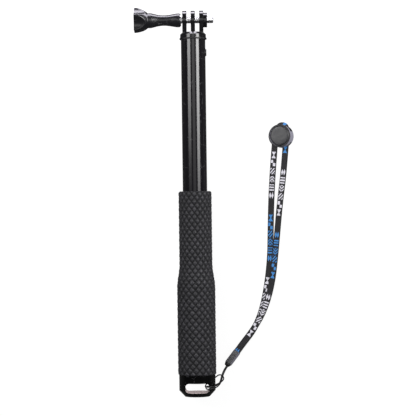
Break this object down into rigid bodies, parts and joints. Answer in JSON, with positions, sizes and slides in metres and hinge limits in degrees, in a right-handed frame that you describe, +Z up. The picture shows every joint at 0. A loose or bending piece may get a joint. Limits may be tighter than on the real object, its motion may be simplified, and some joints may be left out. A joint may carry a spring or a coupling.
{
  "type": "telescoping camera pole",
  "caption": "Telescoping aluminium camera pole with twist locks, a three-prong head and thumb screw, a woven-relief rubber grip and a wrist lanyard.",
  "frame": {"origin": "centre of the end cap's base face, on the pole's axis", "axes": "+Y along the pole from base to head, +X towards the thumb screw's free tip, +Z up from the table it lies on"},
  "size_m": [0.114, 0.2795, 0.0274],
  "materials": {
    "black_anodised": "gloss black anodised, turned",
    "gloss_black_tube": "gloss black anodised, drawn tube",
    "black_nylon": "satin moulded nylon",
    "natural_nylon": "natural moulded nylon",
    "grip_rubber": "matt moulded rubber with a woven relief",
    "black_rubber": "satin rubber",
    "head_plastic": "gloss black moulded",
    "knob_plastic": "fine satin-gloss black moulded",
    "steel": "zinc plated",
    "bright_steel": "bright rolled thread",
    "printed_webbing": "flat woven webbing, printed in white and blue",
    "black_cord": "fine braided cord",
    "clip_plastic": "satin dark grey moulded",
    "slider_plastic": "satin charcoal moulded"
  },
  "bodies": {
    "handle": {"end_cap": "black_anodised", "cap_pin": "steel", "bump_stop": "black_rubber", "handle_tube": "black_anodised", "handle_bushing": "black_nylon", "grip_sleeve": "grip_rubber", "wrist_strap": "printed_webbing", "tether_cord": "black_cord", "clip_front": "clip_plastic", "clip_rear": "clip_plastic"},
    "lower_lock": {"lower_lock_sleeve": "natural_nylon"},
    "lower_stage": {"lower_tube": "gloss_black_tube", "lower_tube_bushing": "black_nylon", "lower_tube_plug": "black_nylon", "lower_lock_screw": "steel"},
    "middle_lock": {"middle_lock_sleeve": "natural_nylon"},
    "middle_stage": {"middle_tube": "gloss_black_tube", "middle_tube_bushing": "black_nylon", "middle_tube_plug": "black_nylon", "middle_lock_screw": "steel"},
    "upper_lock": {"upper_lock_sleeve": "natural_nylon"},
    "head_stage": {"upper_tube": "gloss_black_tube", "upper_tube_plug": "black_nylon", "upper_lock_screw": "steel", "camera_head": "head_plastic", "head_pin": "steel", "bumper_ring": "black_rubber", "clamp_nut": "steel"},
    "washer": {"screw_washer": "steel"},
    "thumb_screw": {"thumb_screw_knob": "knob_plastic", "thumb_screw_stud": "bright_steel"},
    "strap_slider": {"slider_housing": "slider_plastic", "slider_spring": "steel"},
    "slider_press": {"slider_button": "slider_plastic"}
  },
  "joints": [
    {"name": "lower_slide", "type": "slide", "parent": "handle", "child": "lower_lock", "axis": [0, 1, 0], "range_m": [-0.091, 0.009]},
    {"name": "lower_twist", "type": "hinge", "parent": "lower_lock", "child": "lower_stage", "pos_m": [0, 0.119, 0], "axis": [0, 1, 0], "range_deg": [-90, 0]},
    {"name": "middle_slide", "type": "slide", "parent": "lower_stage", "child": "middle_lock", "axis": [0, 1, 0], "range_m": [0, 0.105]},
    {"name": "middle_twist", "type": "hinge", "parent": "middle_lock", "child": "middle_stage", "pos_m": [0, 0.133, 0], "axis": [0, 1, 0], "range_deg": [-90, 0]},
    {"name": "upper_slide", "type": "slide", "parent": "middle_stage", "child": "upper_lock", "axis": [0, 1, 0], "range_m": [0, 0.093]},
    {"name": "upper_twist", "type": "hinge", "parent": "upper_lock", "child": "head_stage", "pos_m": [0, 0.147, 0], "axis": [0, 1, 0], "range_deg": [-90, 0]},
    {"name": "screw_travel", "type": "slide", "parent": "head_stage", "child": "washer", "axis": [1, 0, 0], "range_m": [-0.0041, 0.0007]},
    {"name": "screw_turn", "type": "hinge", "parent": "washer", "child": "thumb_screw", "pos_m": [0, 0.27, 0], "axis": [1, 0, 0], "range_deg": [-1800, 300]},
    {"name": "slider_run", "type": "slide", "parent": "handle", "child": "strap_slider", "axis": [-0.0898, -0.996, 0], "range_m": [0, 0.02]},
    {"name": "button_press", "type": "slide", "parent": "strap_slider", "child": "slider_press", "axis": [0.3569, -0.0322, -0.9336], "range_m": [0, 0.0015], "stiffness_N_per_m": 500, "springref_m": -0.002, "deforming": ["slider_spring"]}
  ],
  "couplings": [
    {"joint": "screw_travel", "follows": "screw_turn", "m_per_rad": 0.00012732}
  ]
}
